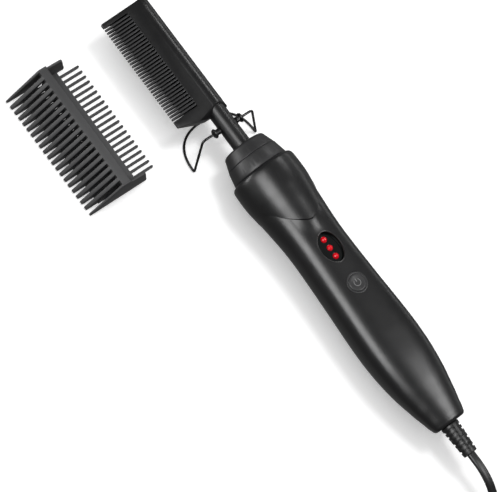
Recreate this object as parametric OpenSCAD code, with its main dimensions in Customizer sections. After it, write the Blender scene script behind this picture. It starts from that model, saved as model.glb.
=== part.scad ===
// Electric hot comb with its slip-on comb guard, lying on a table beside it.
// Millimetres. X runs along the comb, blade at -X and cord at +X, the control face looks up (+Z),
// and the blade's teeth point to -Y. The origin is on the table, under the middle of the comb
// and guard.

/* [Comb blade] */
// Length of the heated blade along the comb
blade_len = 74.4; // [60:0.2:80]
// Distance from the spine's outer edge to the tooth tips
blade_w = 30.6; // [28:0.2:36]
// Radius of the rounded spine
spine_r = 6.2; // [5.9:0.1:7]
// Thickness at the tooth tips
tip_t = 1.6; // [1.2:0.1:2.4]
// Number of slots between the teeth
slot_n = 34; // [16:1:36]
// Distance from one slot to the next
slot_pitch = 1.88; // [1.7:0.02:2]
// Width of one slot
slot_w = 0.95; // [0.6:0.05:1.1]
// Length of a tooth, from its tip to its root
tooth_len = 15.3; // [10:0.1:16]

/* [Shank] */
// Outer radius of the shank tube
tube_r = 5.3; // [4.8:0.1:5.5]
// Wall of the shank tube
tube_wall = 0.8; // [0.6:0.1:1]
// Free length of the shank, from the blade to the collar
shank_len = 22.2; // [19:0.2:32]
// Depth to which the tube is pushed into the blade
tube_seat = 8; // [6:0.5:10]

/* [Wire stand] */
// Diameter of the stand's wire
wire_d = 1.4; // [1.2:0.1:1.8]
// Distance from the collar's front face to the stand's pivot
pivot_back = 13.8; // [11:0.2:15]
// Height of the comb's axis above the table, which sets the length of the stand's legs
axis_h = 23; // [22:0.5:25]
// Half the distance between the knees of the wire
knee_y = 17.2; // [14:0.2:20]
// Half the distance between the feet of the wire
foot_y = 21.9; // [20:0.1:26]
// How far the feet stand behind the pivot
foot_back = 7.6; // [3:0.2:8]
// How far the arch reaches ahead of the feet
arch_reach = 21; // [15:0.5:22]

/* [Collar] */
// Radius of the collar's front rim
collar_r = 12.9; // [11.5:0.1:13.5]
// Length of the front ring
ring_len = 7.7; // [6:0.1:9]
// Length of the rear ring that shows
skirt_len = 8.8; // [7:0.1:12]

/* [Handle] */
// Radius of the round front of the handle
bell_r = 19.4; // [18.8:0.1:20.5]
// Length of the handle
handle_len = 167; // [160:1:200]
// Half the width of the grip at its widest
grip_w = 17.7; // [16:0.1:18.6]
// Thickness of the moulded wall
wall = 2.4; // [1.8:0.1:2.8]

/* [Controls] */
// Diameter of the power button
button_d = 9.9; // [8:0.1:11]
// Travel of the power button
button_travel = 0.4; // [0.2:0.1:0.5]
// Length of the oval window
window_len = 18.6; // [16:0.2:21]
// Width of the oval window
window_w = 12.7; // [10:0.1:14]
// Distance between the status lights
light_pitch = 5.3; // [4:0.1:5.6]
// Diameter of one status light
light_d = 3.4; // [2.6:0.1:3.8]

/* [Comb guard] */
// Length of the guard
guard_len = 76.6; // [64:0.2:86]
// Height of the upper rail's top above the table
guard_h = 22; // [20:0.5:26]
// Distance from the tips of the sloping teeth to the upper rail
guard_reach = 19.4; // [17:0.2:24]
// Number of sloping teeth, counting the two end plates
guard_teeth = 21; // [15:2:25]
// Width of one sloping tooth
guard_tooth_w = 2.1; // [1.6:0.1:2.4]
// Number of fine teeth on the lower rail
fine_teeth = 21; // [13:2:25]
// Length of the fine teeth beyond the lower rail
fine_len = 13; // [8:0.5:18]

/* [Cord] */
// Width of the flat twin cord
cord_w = 4.8; // [4.4:0.1:5]
// Thickness of the flat twin cord
cord_t = 3.2; // [2.8:0.1:3.2]

/* [Hidden] */
$fn = 64;

// Clearances
run_gap = 0.05;      // radial, between pieces that turn or slide
fit_gap = 0.02;      // radial, between pieces that stay put
split_gap = 0.05;    // across the handle's parting line

// Places along the comb, from the collar's front face
blade_end = -shank_len;
blade_tip = blade_end - blade_len;
pivot_x = -pivot_back;
skirt_x = ring_len;
handle_x = ring_len + skirt_len;
handle_end = handle_x + handle_len;
boot_len = 19;
boot_end = handle_end + boot_len;
boot_z = -3;
split_z = boot_z;

// Blade outline
spine_y = 0;
spine_edge = spine_y + spine_r;
tip_y = spine_edge - blade_w;
root_y = tip_y + tooth_len;
heel_run = 5;
heel_y = tip_y + 16;
near_slot = blade_end - 9.2;
slots = min(slot_n, floor((blade_len - 11.8) / slot_pitch) + 1);
bevel_run = 4.6;

// Heater and its leads
heater_r = 2.6;
heater_from = blade_tip + 8.3;
heater_to = blade_end - tube_seat + 3;
lead_r = 0.8;
lead_y = 1.5;
lead_spread = 4.7;

// Tube, bushes and collar
tube_to = ring_len + 5;
bush_stem_r = 1.3;
bush_flange_r = 2.8;
bush_out = 9.8;
skirt_r = collar_r + 2.1;
skirt_end_r = collar_r + 3.7;
spigot_r = 16;
spigot_len = 8;
shield_r = 11.4;
shield_t = 1.5;

// Screws that hold the two shells together
boss_r = 3.4;
screw_r = 1.4;
head_r = 2.7;
screw_places = [handle_x + 0.19 * handle_len, handle_x + 0.8 * handle_len];
screw_seat = -12;

// Controls; heights are above the comb's axis
window_x = handle_x + 0.3335 * handle_len;
button_x = handle_x + 0.473 * handle_len;
face_z = 11.8;
window_floor = 10.4;
bezel_in = button_d / 2 + run_gap + 0.03;
bezel_r = bezel_in + 0.9;
board_from = handle_x + 0.25 * handle_len;
board_to = handle_x + 0.65 * handle_len;
board_z = 1.4;
board_t = 1.6;
board_top = board_z + board_t;
board_w = 21;
post_in = 3.4;
post_x = [board_from + post_in, board_to - post_in];
post_y = board_w / 2 - 2.4;
cap_low = board_top + 3.4 + 0.7;
plunger_r = 1.6;

// Cord entry
flange_r = 5.4;
neck_r = 3.5;
tail_x = handle_end - 26;
clamp_x = handle_end - 21.6;

// Guard, lying on the table beside the blade
guard_x = blade_tip + 3.1;
guard_y = -65.9;
guard_plate = 1.3;
rail_w = 5;
rail_t = 3;
leg_t = 2.6;
lower_rail_y = 13.6;
lower_rail_w = 5.4;
lower_rail_t = 2.4;
fine_w = 1.4;
fine_t = 1.6;
lug_reach = 19;

// The origin is under the middle of the comb and guard
low_y = guard_y - guard_reach;
high_y = foot_y + wire_d / 2;
mid_x = (blade_tip + boot_end) / 2;
mid_y = (low_y + high_y) / 2;

module on_comb() {
    translate([-mid_x, -mid_y, axis_h]) children();
}

module on_table() {
    translate([-mid_x, -mid_y, 0]) children();
}

// A solid of revolution about the comb's axis; points are [radius, place along X]
module spin_x(points) {
    rotate([0, 90, 0]) rotate_extrude($fn = 96) polygon(points);
}

// A cylinder along X
module rod_x(r, from, to) {
    translate([from, 0, 0]) rotate([0, 90, 0]) cylinder(r = r, h = to - from);
}

// A profile drawn in Y and Z, drawn out along X
module bar_x(from, to) {
    translate([from, 0, 0]) rotate([90, 0, 90]) linear_extrude(to - from) children();
}

function unit(v) = v / norm(v);
function heading(path, i) = i == 0 ? unit(path[1] - path[0])
    : i == len(path) - 1 ? unit(path[i] - path[i - 1])
    : unit(unit(path[i + 1] - path[i]) + unit(path[i] - path[i - 1]));

// The path with each corner rounded, starting a distance d before it
function eased(path, d) = concat([path[0]],
    [for (i = [1:len(path) - 2])
        let (p = path[i], a = p + d * unit(path[i - 1] - p), b = p + d * unit(path[i + 1] - p))
        each [a, (a + 2 * p + b) / 4, b]],
    [path[len(path) - 1]]);

// A round wire along a path; across is never parallel to the path
module wire(path, r, across, sides) {
    loft([for (i = [0:len(path) - 1])
        let (d = heading(path, i), v = unit(cross(d, across)), w = cross(d, v))
        [for (j = [0:sides - 1]) path[i] + r * (cos(360 * j / sides) * v + sin(360 * j / sides) * w)]],
        false);
}

function oval(a, b, n) = [for (i = [0:n - 1]) [a * cos(360 * i / n), b * sin(360 * i / n)]];

function arc(cx, cy, r, from, to, n) =
    [for (i = [0:n]) [cx + r * cos(from + (to - from) * i / n), cy + r * sin(from + (to - from) * i / n)]];

// ---- Head ----

// Cross-section of the blade: a round spine that thins to the tooth tips
module blade_section() {
    translate([spine_y, 0]) circle(r = spine_r);
    polygon([[spine_y, spine_r], [tip_y + 0.4, tip_t / 2], [tip_y, tip_t / 2 - 0.4],
        [tip_y, 0.4 - tip_t / 2], [tip_y + 0.4, -tip_t / 2], [spine_y, -spine_r]]);
}

// Outline of the blade from above: a rounded far corner and a slanted heel
module blade_outline() {
    corner = 4;
    polygon(concat([[blade_end, heel_y], [blade_end, spine_edge - 1], [blade_end - 1, spine_edge + 0.1]],
        arc(blade_tip + corner, spine_edge + 0.1 - corner, corner, 90, 180, 10),
        [[blade_tip, tip_y + 0.6], [blade_tip + 0.6, tip_y], [blade_end - heel_run, tip_y]]));
}

module comb_blade() {
    on_comb() color([0.09, 0.09, 0.1]) difference() {
        intersection() {
            bar_x(blade_tip, blade_end) blade_section();
            translate([0, 0, -20]) linear_extrude(40) blade_outline();
        }
        for (i = [0:slots - 1])
            translate([near_slot - i * slot_pitch - slot_w / 2, tip_y - 5, -10])
                cube([slot_w, tooth_len + 5, 20]);
        for (side = [-1, 1])
            translate([0, 30, 0]) rotate([90, 0, 0]) linear_extrude(60)
                polygon([[blade_end - bevel_run, side * (spine_r + 0.1)], [blade_end + 0.1, side * 2],
                    [blade_end + 1, side * 12], [blade_end - bevel_run, side * 12]]);
        rod_x(tube_r + fit_gap, blade_end - tube_seat, blade_end + 2);
        rod_x(heater_r + fit_gap, blade_tip + 8, blade_end - tube_seat + 1);
    }
}

module heater_core() {
    on_comb() color([0.9, 0.88, 0.82]) {
        rod_x(heater_r, heater_from, heater_to);
    }
}

module heater_leads() {
    on_comb() color([0.93, 0.93, 0.9]) for (side = [-1, 1])
        wire(eased([[heater_to + 0.02, side * lead_y, 0], [tube_to + 1, side * lead_y, 0],
            [handle_x + 12, side * lead_spread, -1], [board_from + 5, side * lead_spread, -1],
            [board_from + 5, side * lead_spread, board_z - 0.02]], 1.4), lead_r, [0, 1, 0], 8);
}

module shank_tube() {
    on_comb() color([0.1, 0.1, 0.11]) difference() {
        rod_x(tube_r, blade_end - tube_seat, tube_to);
        rod_x(tube_r - tube_wall, blade_end - tube_seat - 1, tube_to + 1);
        translate([pivot_x, 0, 0]) rotate([90, 0, 0])
            cylinder(r = bush_stem_r + fit_gap, h = 30, center = true);
    }
}

// Two flanged bushes, riveted through the tube's wall, that carry the wire stand
module pivot_bushes() {
    on_comb() color([0.12, 0.12, 0.13]) for (side = [-1, 1])
        translate([pivot_x, 0, 0]) rotate([-90 * side, 0, 0]) difference() {
            rotate_extrude() polygon([[0, tube_r - tube_wall - 0.6], [bush_stem_r, tube_r - tube_wall - 0.6],
                [bush_stem_r, tube_r + 0.1], [bush_stem_r + 0.5, tube_r + 0.5], [bush_stem_r + 0.3, bush_out - 2],
                [bush_flange_r - 0.4, bush_out - 1.6], [bush_flange_r, bush_out - 1.1],
                [bush_flange_r - 0.3, bush_out - 0.4], [bush_flange_r - 1.2, bush_out], [0, bush_out]]);
            translate([0, 0, -1]) cylinder(r = wire_d / 2 + run_gap, h = 20);
        }
}

function power(v, n) = v == 0 ? 0 : sign(v) * pow(abs(v), n);

// A full arch on the table, from one foot round to the other
arch_n = 16;
arch_power = 2 / 2.5;
function arch_point(a) = [pivot_x + foot_back - arch_reach * power(sin(a), arch_power),
    -foot_y * power(cos(a), arch_power), wire_d / 2 - axis_h];

module stand_wire() {
    ends = [for (side = [-1, 1]) [[pivot_x, side * (tube_r - 1.6), 0], [pivot_x, side * knee_y, 0]]];
    on_comb() color([0.14, 0.14, 0.15]) {
        wire(eased(concat(ends[0], [for (i = [0:arch_n]) arch_point(180 * i / arch_n)],
            [ends[1][1], ends[1][0]]), 1.5), wire_d / 2, [1, 0, 1], 12);
    }
}

// ---- Collar ----

module collar_front() {
    on_comb() color([0.13, 0.13, 0.14]) difference() {
        spin_x(concat([[0, 0]], [for (p = arc(collar_r - 2.2, 2.2, 2.2, -90, -5, 8)) p],
            [[skirt_r - 0.15, ring_len - 0.15], [skirt_r - 0.3, ring_len], [0, ring_len]]));
        rod_x(tube_r + fit_gap, -1, ring_len + 1);
        rod_x(collar_r - 2.4, 3, ring_len + 1);
    }
}

// Mica disc that keeps the tube's heat off the handle
module heat_shield() {
    on_comb() color([0.75, 0.66, 0.5]) difference() {
        rod_x(shield_r, ring_len + 0.6, ring_len + 0.6 + shield_t);
        rod_x(tube_r + fit_gap, ring_len, ring_len + 4);
    }
}

module collar_rear() {
    seat = ring_len + 0.6 + shield_t;
    on_comb() color([0.13, 0.13, 0.14]) difference() {
        spin_x([[0, ring_len + 0.02], [skirt_r - 0.3, ring_len + 0.02], [skirt_r + 0.1, ring_len + 0.4],
            [skirt_end_r, handle_x - 1.1], [skirt_end_r - 0.2, handle_x - 0.3], [spigot_r, handle_x - 0.2],
            [spigot_r, handle_x + spigot_len], [0, handle_x + spigot_len]]);
        rod_x(shield_r + fit_gap, ring_len - 1, seat);
        rod_x(tube_r + fit_gap, ring_len - 1, tube_to + 2);
        rod_x(spigot_r - 2.4, tube_to + 1.2, handle_x + spigot_len + 1);
    }
}

// ---- Handle ----

// Grip sections: [share of the handle's length, half width, height above the axis, depth below it,
// squareness of the top]
grip_table = [
    [0.04, 15.0, 11.6, 14.6, 2.2],
    [0.09, 17.6, 14.2, 17.6, 2.2],
    [0.13, 18.0, 14.9, 18.2, 2.2],
    [0.18, 17.3, 14.3, 17.8, 2.3],
    [0.25, 16.3, 13.1, 17.6, 2.5],
    [0.32, 16.0, 12.4, 18.2, 2.6],
    [0.47, 16.6, 11.8, 20.5, 2.6],
    [0.65, 17.7, 11.4, 22.97, 2.5],
    [0.75, 17.4, 10.7, 22.4, 2.4],
    [0.84, 15.8, 9.3, 20.0, 2.3],
    [0.92, 13.2, 7.5, 16.4, 2.2],
    [0.975, 11.0, 6.1, 13.2, 2.1],
    [1.0, 9.9, 5.2, 11.4, 2.1]];

// A smooth curve through the rows of the table
function blend(a, b, c, d, t) =
    b + 0.5 * t * (c - a + t * (2 * a - 5 * b + 4 * c - d + t * (3 * (b - c) + d - a)));
function row(i) = grip_table[min(max(i, 0), len(grip_table) - 1)];
function span_of(u, i = 0) = (i >= len(grip_table) - 2 || u <= row(i + 1)[0]) ? i : span_of(u, i + 1);
function grip_at(u) =
    let (i = span_of(u), t = (u - row(i)[0]) / (row(i + 1)[0] - row(i)[0]))
    [for (k = [0:4]) blend(row(i - 1)[k], row(i)[k], row(i + 1)[k], row(i + 2)[k], t)];

// Radii of the round front and of the tongue, by distance from the handle's front face
bell_curve = [[0, -1.9], [0.5, -1.0], [1.2, -0.5], [2.4, -0.2], [5, -0.05], [11, 0], [17, -0.4],
    [23, -1.7], [29, -3.9], [34.5, -7], [39, -12]];
tongue_curve = [[0, -3], [11, -0.2], [17, -0.5], [24, -1.3], [31, -2.4], [37, -3.3], [43, -4.3]];
// How far the tongue reaches along the handle, by distance from the middle
tongue_edge = [[0, 37.8], [2.5, 37.2], [4.5, 36], [6.5, 34.6], [9.3, 32.2], [12, 29.4], [13.4, 27.6],
    [15.4, 24.2], [17, 21.2], [18.9, 15.5], [20, 11]];
// How far the scoop below the tongue's edge runs out, by depth below the tongue
scoop_curve = [[0, 0], [0.7, 0.2], [1.4, 0.8], [2.1, 2], [2.8, 4], [3.6, 7]];
end_round = 1.8;

// Is a point inside the round front, the tongue, or the grip whose section is g?
function in_bell(d, y, z) = d < 36 && norm([y, z]) < bell_r + lookup(d, bell_curve);
function in_tongue(d, y, z) = let (depth = bell_r + lookup(d, tongue_curve) - norm([y, z]))
    d > 12 && depth > 0 && d < lookup(abs(y), tongue_edge) + lookup(depth, scoop_curve);
function in_grip(g, cut, y, z) =
    let (n = z > 0 ? g[4] : 2, w = g[1] * grip_w / 17.7 - cut, h = (z > 0 ? g[2] : g[3] * axis_h / 23) - cut)
    pow(abs(y) / w, n) + pow(abs(z) / h, n) < 1;

// Distance from the middle of the parting plane to the surface, found by halving
function reach(d, g, cut, c, s, low, high, steps) =
    let (r = (low + high) / 2, y = r * c, z = split_z + r * s)
    steps == 0 ? r
    : (in_grip(g, cut, y, z) || in_bell(d, y, z) || in_tongue(d, y, z))
    ? reach(d, g, cut, c, s, r, high, steps - 1) : reach(d, g, cut, c, s, low, r, steps - 1);

function outside(d, angles) =
    let (near_end = max(d - handle_len + end_round, 0),
        cut = end_round - sqrt(max(pow(end_round, 2) - pow(near_end, 2), 0)),
        g = grip_at(max(d / handle_len, grip_table[0][0])))
    [for (a = angles) reach(d, g, cut, cos(a), sin(a), 4, 30, 13)];

// A bore round the comb's axis, seen from the middle of the parting plane
function bore(r, angles) =
    [for (a = angles) -split_z * sin(a) + sqrt(r * r - pow(split_z * cos(a), 2))];

// Stations along the handle: [distance from its front face, kind of hollow, radius]
step = 0.04;
seat = [handle_len - 9.2, handle_len - 5.8];
hollow_from = spigot_len + 0.6;
hollow_to = handle_len - 16;
shell_stations = concat(
    [for (d = [0, 0.5, 1.2, 2.4, 5, hollow_from - step]) [d, "axis", spigot_r + 0.1]],
    [for (d = [hollow_from, 11, 14, 17, 20, 23, 25, 27, 29, 31, 33, 34.7, 36.4, 37.8, 39, 40.2, 41.6,
        43.4, 45.6, 48.5, 53, 60, 68, 77, 87, 97, 107, 117, 126, 134, 142, hollow_to - step])
        [d, "wall", wall]],
    [for (d = [hollow_to, seat[0] - step]) [d, "neck", neck_r + 0.1]],
    [for (d = [seat[0], seat[1]]) [d, "neck", flange_r + 0.2]],
    [for (d = [seat[1] + step, handle_len - 4, handle_len - 1.6, handle_len - 0.8, handle_len - 0.3,
        handle_len]) [d, "neck", neck_r + 0.1]]);

// One shell is a run of C-shaped sections: out along the outside, back along the hollow
module shell(from, z_face) {
    angles = [for (j = [0:18]) from + 10 * j];
    rings = [for (s = shell_stations)
        let (out = outside(s[0], angles),
            back = s[1] == "axis" ? bore(s[2], angles)
            : [for (r = out) s[1] == "wall" ? r - s[2] : s[2]],
            x = handle_x + s[0])
        concat([for (j = [0:18]) [x, out[j] * cos(angles[j]), z_face + out[j] * sin(angles[j])]],
            [for (j = [18:-1:0]) [x, back[j] * cos(angles[j]), z_face + back[j] * sin(angles[j])]])];
    loft(rings);
}

// Closed loops of points, each joined to the next; the end loops are closed across as strips
module loft(rings, strips = true) {
    s = len(rings[0]);
    n = len(rings);
    points = [for (r = rings) for (p = r) p];
    sides = [for (i = [0:n - 2]) for (j = [0:s - 1])
        let (a = i * s + j, b = i * s + (j + 1) % s)
        each [[a, b + s, b], [a, a + s, b + s]]];
    first = [for (j = [0:s / 2 - 2]) [j, j + 1, s - 2 - j, s - 1 - j]];
    far = (n - 1) * s;
    last = [for (j = [0:s / 2 - 2]) [far + j + 1, far + j, far + s - 1 - j, far + s - 2 - j]];
    flat_first = [[for (j = [0:s - 1]) j]];
    flat_last = [[for (j = [s - 1:-1:0]) far + j]];
    polyhedron(points, concat(sides, strips ? first : flat_first, strips ? last : flat_last),
        convexity = 6);
}

boss_top = [15.6, 8.9];
boss_low = [-16.6, -19.9] * axis_h / 23;
post_low = [-14.6, -18.9] * axis_h / 23;

module handle_upper() {
    on_comb() color([0.16, 0.16, 0.17]) difference() {
        union() {
            shell(0, split_z + split_gap / 2);
            for (i = [0, 1])
                translate([screw_places[i], 0, split_z + split_gap / 2])
                    cylinder(r = boss_r, h = boss_top[i] - split_z);
        }
        for (x = screw_places)
            translate([x, 0, split_z - 1]) cylinder(r = screw_r + fit_gap, h = 8);
        translate([window_x, 0, 4]) linear_extrude(30) polygon(oval(window_len / 2, window_w / 2, 32));
        translate([button_x, 0, 4]) cylinder(r = bezel_r + fit_gap, h = 30);
    }
}

module handle_lower() {
    on_comb() color([0.15, 0.15, 0.16]) difference() {
        union() {
            shell(180, split_z - split_gap / 2);
            for (i = [0, 1])
                translate([screw_places[i], 0, boss_low[i]])
                    cylinder(r = boss_r, h = split_z - split_gap / 2 - boss_low[i]);
            for (i = [0, 1], side = [-1, 1])
                translate([post_x[i], side * post_y, post_low[i]])
                    cylinder(r = 2, h = split_z - 0.02 - post_low[i]);
        }
        for (x = screw_places) {
            translate([x, 0, -30]) cylinder(r = screw_r + 0.2, h = 40);
            translate([x, 0, -30]) cylinder(r = head_r + 0.2, h = 30 + screw_seat);
        }
    }
}

module case_screws() {
    on_comb() color([0.55, 0.55, 0.56]) for (x = screw_places)
        translate([x, 0, 0]) difference() {
            union() {
                translate([0, 0, screw_seat - 2]) cylinder(r = head_r, h = 1.98);
                translate([0, 0, screw_seat - 1]) cylinder(r = screw_r, h = 5.5 + split_z - screw_seat);
            }
            for (turn = [0, 90])
                rotate([0, 0, turn]) translate([-1.6, -0.35, screw_seat - 3]) cube([3.2, 0.7, 1.9]);
        }
}

// ---- Controls ----

// Dark oval plate, sunk below the control face, with a hole for each light
module status_window() {
    on_comb() color([0.03, 0.03, 0.04]) translate([window_x, 0, 0]) difference() {
        union() {
            translate([0, 0, 8.2]) linear_extrude(window_floor - 8.2)
                polygon(oval(window_len / 2 - 0.05, window_w / 2 - 0.05, 32));
            translate([0, 0, 8.2]) linear_extrude(0.9)
                polygon(oval(window_len / 2 + 1, window_w / 2 + 1, 32));
        }
        for (i = [-1:1])
            translate([i * light_pitch, 0, 0]) cylinder(r = light_d / 2 + fit_gap, h = 20);
    }
}

module status_lights() {
    on_comb() color([0.9, 0.05, 0.05]) for (i = [-1:1])
        translate([window_x + i * light_pitch, 0, board_top + 0.02]) {
            cylinder(r = light_d / 2, h = 7);
            translate([0, 0, 7]) sphere(r = light_d / 2);
        }
}

module button_bezel() {
    on_comb() color([0.14, 0.14, 0.15]) translate([button_x, 0, 0]) difference() {
        union() {
            translate([0, 0, 7.9]) cylinder(r = bezel_r, h = face_z - 7.9);
            translate([0, 0, 7.9]) cylinder(r = bezel_r + 0.9, h = 0.7);
        }
        cylinder(r = bezel_in, h = 30);
    }
}

module power_button() {
    on_comb() color([0.2, 0.2, 0.21]) translate([button_x, 0, 0]) rotate_extrude() polygon([[0, cap_low],
        [bezel_in + 0.7, cap_low], [bezel_in + 0.7, cap_low + 0.6], [button_d / 2, cap_low + 0.6],
        [button_d / 2, face_z + 0.1], [button_d / 2 - 0.4, face_z + 0.45], [button_d / 2 - 1.2, face_z + 0.5],
        [button_d / 2 - 2.2, face_z + 0.25], [0, face_z + 0.15]]);
}

// Printed board, on four spacers that stand on posts of the lower shell
module control_board() {
    on_comb() color([0.05, 0.32, 0.14]) {
        translate([board_from, -board_w / 2, board_z]) cube([board_to - board_from, board_w, board_t]);
        for (x = post_x, side = [-1, 1])
            translate([x, side * post_y, split_z]) cylinder(r = 1.8, h = board_z - split_z);
    }
}

// Floor of the switch's well, and the plunger's foot above it: it stops short after its travel
plunger_well = board_top + 1.8;
plunger_foot = plunger_well + button_travel + 0.3;

module switch_body() {
    on_comb() color([0.1, 0.1, 0.1]) difference() {
        translate([button_x - 3, -3, board_top + 0.02]) cube([6, 6, 3.38]);
        translate([button_x, 0, plunger_well]) cylinder(r = plunger_r + run_gap, h = 5);
    }
}

module switch_plunger() {
    on_comb() color([0.75, 0.75, 0.7])
        translate([button_x, 0, plunger_foot]) cylinder(r = plunger_r, h = cap_low - 0.03 - plunger_foot);
}

module board_chip() {
    on_comb() color([0.08, 0.08, 0.09])
        translate([button_x + 8, -4, board_top + 0.02]) cube([9, 8, 1.7]);
}

module board_capacitor() {
    on_comb() color([0.75, 0.6, 0.2])
        translate([board_from + 12, -7, board_z - 9.02]) cube([13, 6, 9]);
}

module board_triac() {
    on_comb() color([0.1, 0.1, 0.1])
        translate([board_from + 32, -5, board_z - 7.02]) cube([10, 4.6, 7]);
}

module board_fuse() {
    on_comb() color([0.85, 0.85, 0.8])
        translate([board_from + 34, 5, board_z - 2.52]) rotate([0, 90, 0]) cylinder(r = 2.5, h = 16);
}

// ---- Cord entry ----

module mains_leads() {
    on_comb() color([0.35, 0.2, 0.12]) for (side = [-1, 1])
        wire(eased([[tail_x - 0.02, side * 1.2, boot_z], [tail_x - 2, side * 1.2, boot_z],
            [tail_x - 6, side * 4.9, boot_z],
            [screw_places[1] - 6, side * 4.9, boot_z], [board_to - 4, side * 3, boot_z],
            [board_to - 4, side * 3, board_z - 0.02]], 0.9), 0.9, [0, 1, 0], 8);
}

module flat_cord_section(w, t) {
    for (side = [-1, 1])
        translate([side * (w - t) / 2, 0]) circle(d = t);
    square([w - t, t - 0.5], center = true);
}

module cord_tail() {
    on_comb() color([0.07, 0.07, 0.08]) translate([0, 0, boot_z])
        bar_x(tail_x, handle_end - 9.22) flat_cord_section(cord_w, cord_t);
}

// A saddle that holds the cord down on a moulded seat
module cord_clamp() {
    on_comb() color([0.85, 0.85, 0.83]) translate([clamp_x, 0, boot_z]) difference() {
        translate([0, -6.5, -cord_t / 2 - 2.2]) cube([5, 13, cord_t + 4.2]);
        translate([-1, 0, 0]) bar_x(0, 8) flat_cord_section(cord_w + 0.06, cord_t + 0.06);
        for (side = [-1, 1])
            translate([2.5, side * 4.6, -10]) cylinder(r = 1.02, h = 20);
    }
}

module clamp_screws() {
    on_comb() color([0.6, 0.6, 0.6]) translate([clamp_x + 2.5, 0, boot_z]) for (side = [-1, 1])
        translate([0, side * 4.6, 0]) {
            translate([0, 0, -cord_t / 2 - 2]) cylinder(r = 1, h = cord_t + 4.2);
            translate([0, 0, cord_t / 2 + 2.02]) cylinder(r = 1.7, h = 1.2);
        }
}

// Which way each groove of the strain relief is cut: 1 at its sides, 0 over its top and bottom
groove_turns = [1, 1, 0, 1, 0, 1];
groove_w = 1.0;
groove_pitch = 2.6;

module strain_relief() {
    base_r = 5.2;
    end_r = 4.1;
    on_comb() color([0.07, 0.07, 0.08]) translate([0, 0, boot_z]) difference() {
        union() {
            rod_x(flange_r, handle_end - 9.1, handle_end - 5.9);
            rod_x(neck_r, handle_end - 9.1, handle_end + 1);
            spin_x(concat([[0, handle_end + 0.05], [base_r - 0.3, handle_end + 0.05],
                [base_r, handle_end + 0.5], [base_r, handle_end + 1.4]],
                [for (p = arc(end_r - 0.7, boot_end - 0.7, 0.7, 0, 90, 5)) p], [[0, boot_end]]));
        }
        for (i = [0:len(groove_turns) - 1])
            translate([handle_end + 2.4 + i * groove_pitch, 0, 0]) rotate([90 * groove_turns[i], 0, 0])
                for (side = [-1, 1]) difference() {
                    translate([0, -8, side > 0 ? 0.9 : -8.9]) cube([groove_w, 16, 8]);
                    rod_x(end_r - 1.3, -1, groove_w + 1);
                }
    }
}

// ---- Comb guard ----

// Profile in Y and Z of one tooth: a sloping leg from the tip up to the upper rail,
// and a flat leg along the table to the lower rail
module tooth_profile() {
    tip = [-guard_reach, 0];
    top = [-rail_w / 2, guard_h];
    slope = (guard_h - 1.4) / (guard_reach - rail_w / 2);
    difference() {
        polygon(concat([[lower_rail_y, 0], [lower_rail_y, lower_rail_t], [2, lower_rail_t]],
            [[rail_w / 2, guard_h - rail_t], [rail_w / 2, guard_h], top],
            arc(tip[0] + 1.1, 1.1, 1.1, 150, 270, 8)));
        polygon([[2, lower_rail_t], [rail_w / 2 + 0.1, guard_h - rail_t], [-0.6, guard_h - rail_t],
            [-0.6 - (guard_h - rail_t - lower_rail_t) / slope, lower_rail_t]]);
    }
}

// Profile of an end plate: it closes the wedge and stands out as a lug beyond both rails
module plate_profile() {
    polygon(concat([[lug_reach, 0], [lug_reach, 1.5]], arc(12.2, guard_h - 6, 2, 20, 90, 5),
        [[4, guard_h - 3.6], [rail_w / 2, guard_h], [-rail_w / 2, guard_h]],
        arc(1.1 - guard_reach, 1.1, 1.1, 150, 270, 8)));
}

module comb_guard() {
    pitch = (guard_len - guard_tooth_w) / (guard_teeth - 1);
    lip = guard_len / 2 - guard_plate;
    fine_room = guard_len - 2 * guard_plate - 5;
    fine_pitch = (fine_room - fine_w) / (fine_teeth - 1);
    fine_from = guard_plate + 2.5;
    on_table() translate([guard_x, guard_y, 0]) color([0.13, 0.13, 0.13]) {
        for (i = [1:guard_teeth - 2])
            bar_x(i * pitch, i * pitch + guard_tooth_w) tooth_profile();
        bar_x(0, guard_plate) plate_profile();
        bar_x(guard_len - guard_plate, guard_len) plate_profile();
        bar_x(0.5, guard_len - 0.5) translate([-rail_w / 2, guard_h - rail_t]) square([rail_w, rail_t]);
        bar_x(0.5, guard_len - 0.5) translate([lower_rail_y - lower_rail_w, 0])
            square([lower_rail_w, lower_rail_t]);
        for (i = [0:fine_teeth - 1]) translate([fine_from + i * fine_pitch, lower_rail_y - 1, 0]) {
            cube([fine_w, fine_len + 1 - fine_w / 2, fine_t]);
            translate([fine_w / 2, fine_len + 1 - fine_w / 2, 0]) cylinder(d = fine_w, h = fine_t, $fn = 24);
        }
    }
}

// ---- Cord ----

// Route of the cord to the coil: [distance beyond the strain relief, place across, share of the
// height at which it leaves]
cord_low = 2.3;
cord_out_z = axis_h + boot_z;
cord_route = [[0, 0, 1], [6, 0, 1], [12, -0.1, 0.96], [19, -0.6, 0.84], [28, -2, 0.6],
    [38, -4.4, 0.34], [48, -7.8, 0.14], [58, -12.2, 0.03], [67, -17, 0], [75.7, -22.03, 0]];
cord_points = [for (p = cord_route)
    [boot_end + p[0], p[1], cord_low + (cord_out_z - cord_low) * p[2]]];
coil_from = [boot_end + 76, -22.2];

// The coil: in and out again in four layers, each on top of the last
coil_r = 33.4;
turn_gap = 5.3;
layer_gap = 3.7;
layer_turns = 2.5;
layers = 4;
coil_sides = 6;
rings_a_turn = 24;
coil_start = 60;
coil_x = coil_from[0] - coil_r * cos(coil_start);
coil_y = coil_from[1] - coil_r * sin(coil_start);
coil_n = layers * layer_turns * rings_a_turn;
climb = 0.5;

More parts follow.
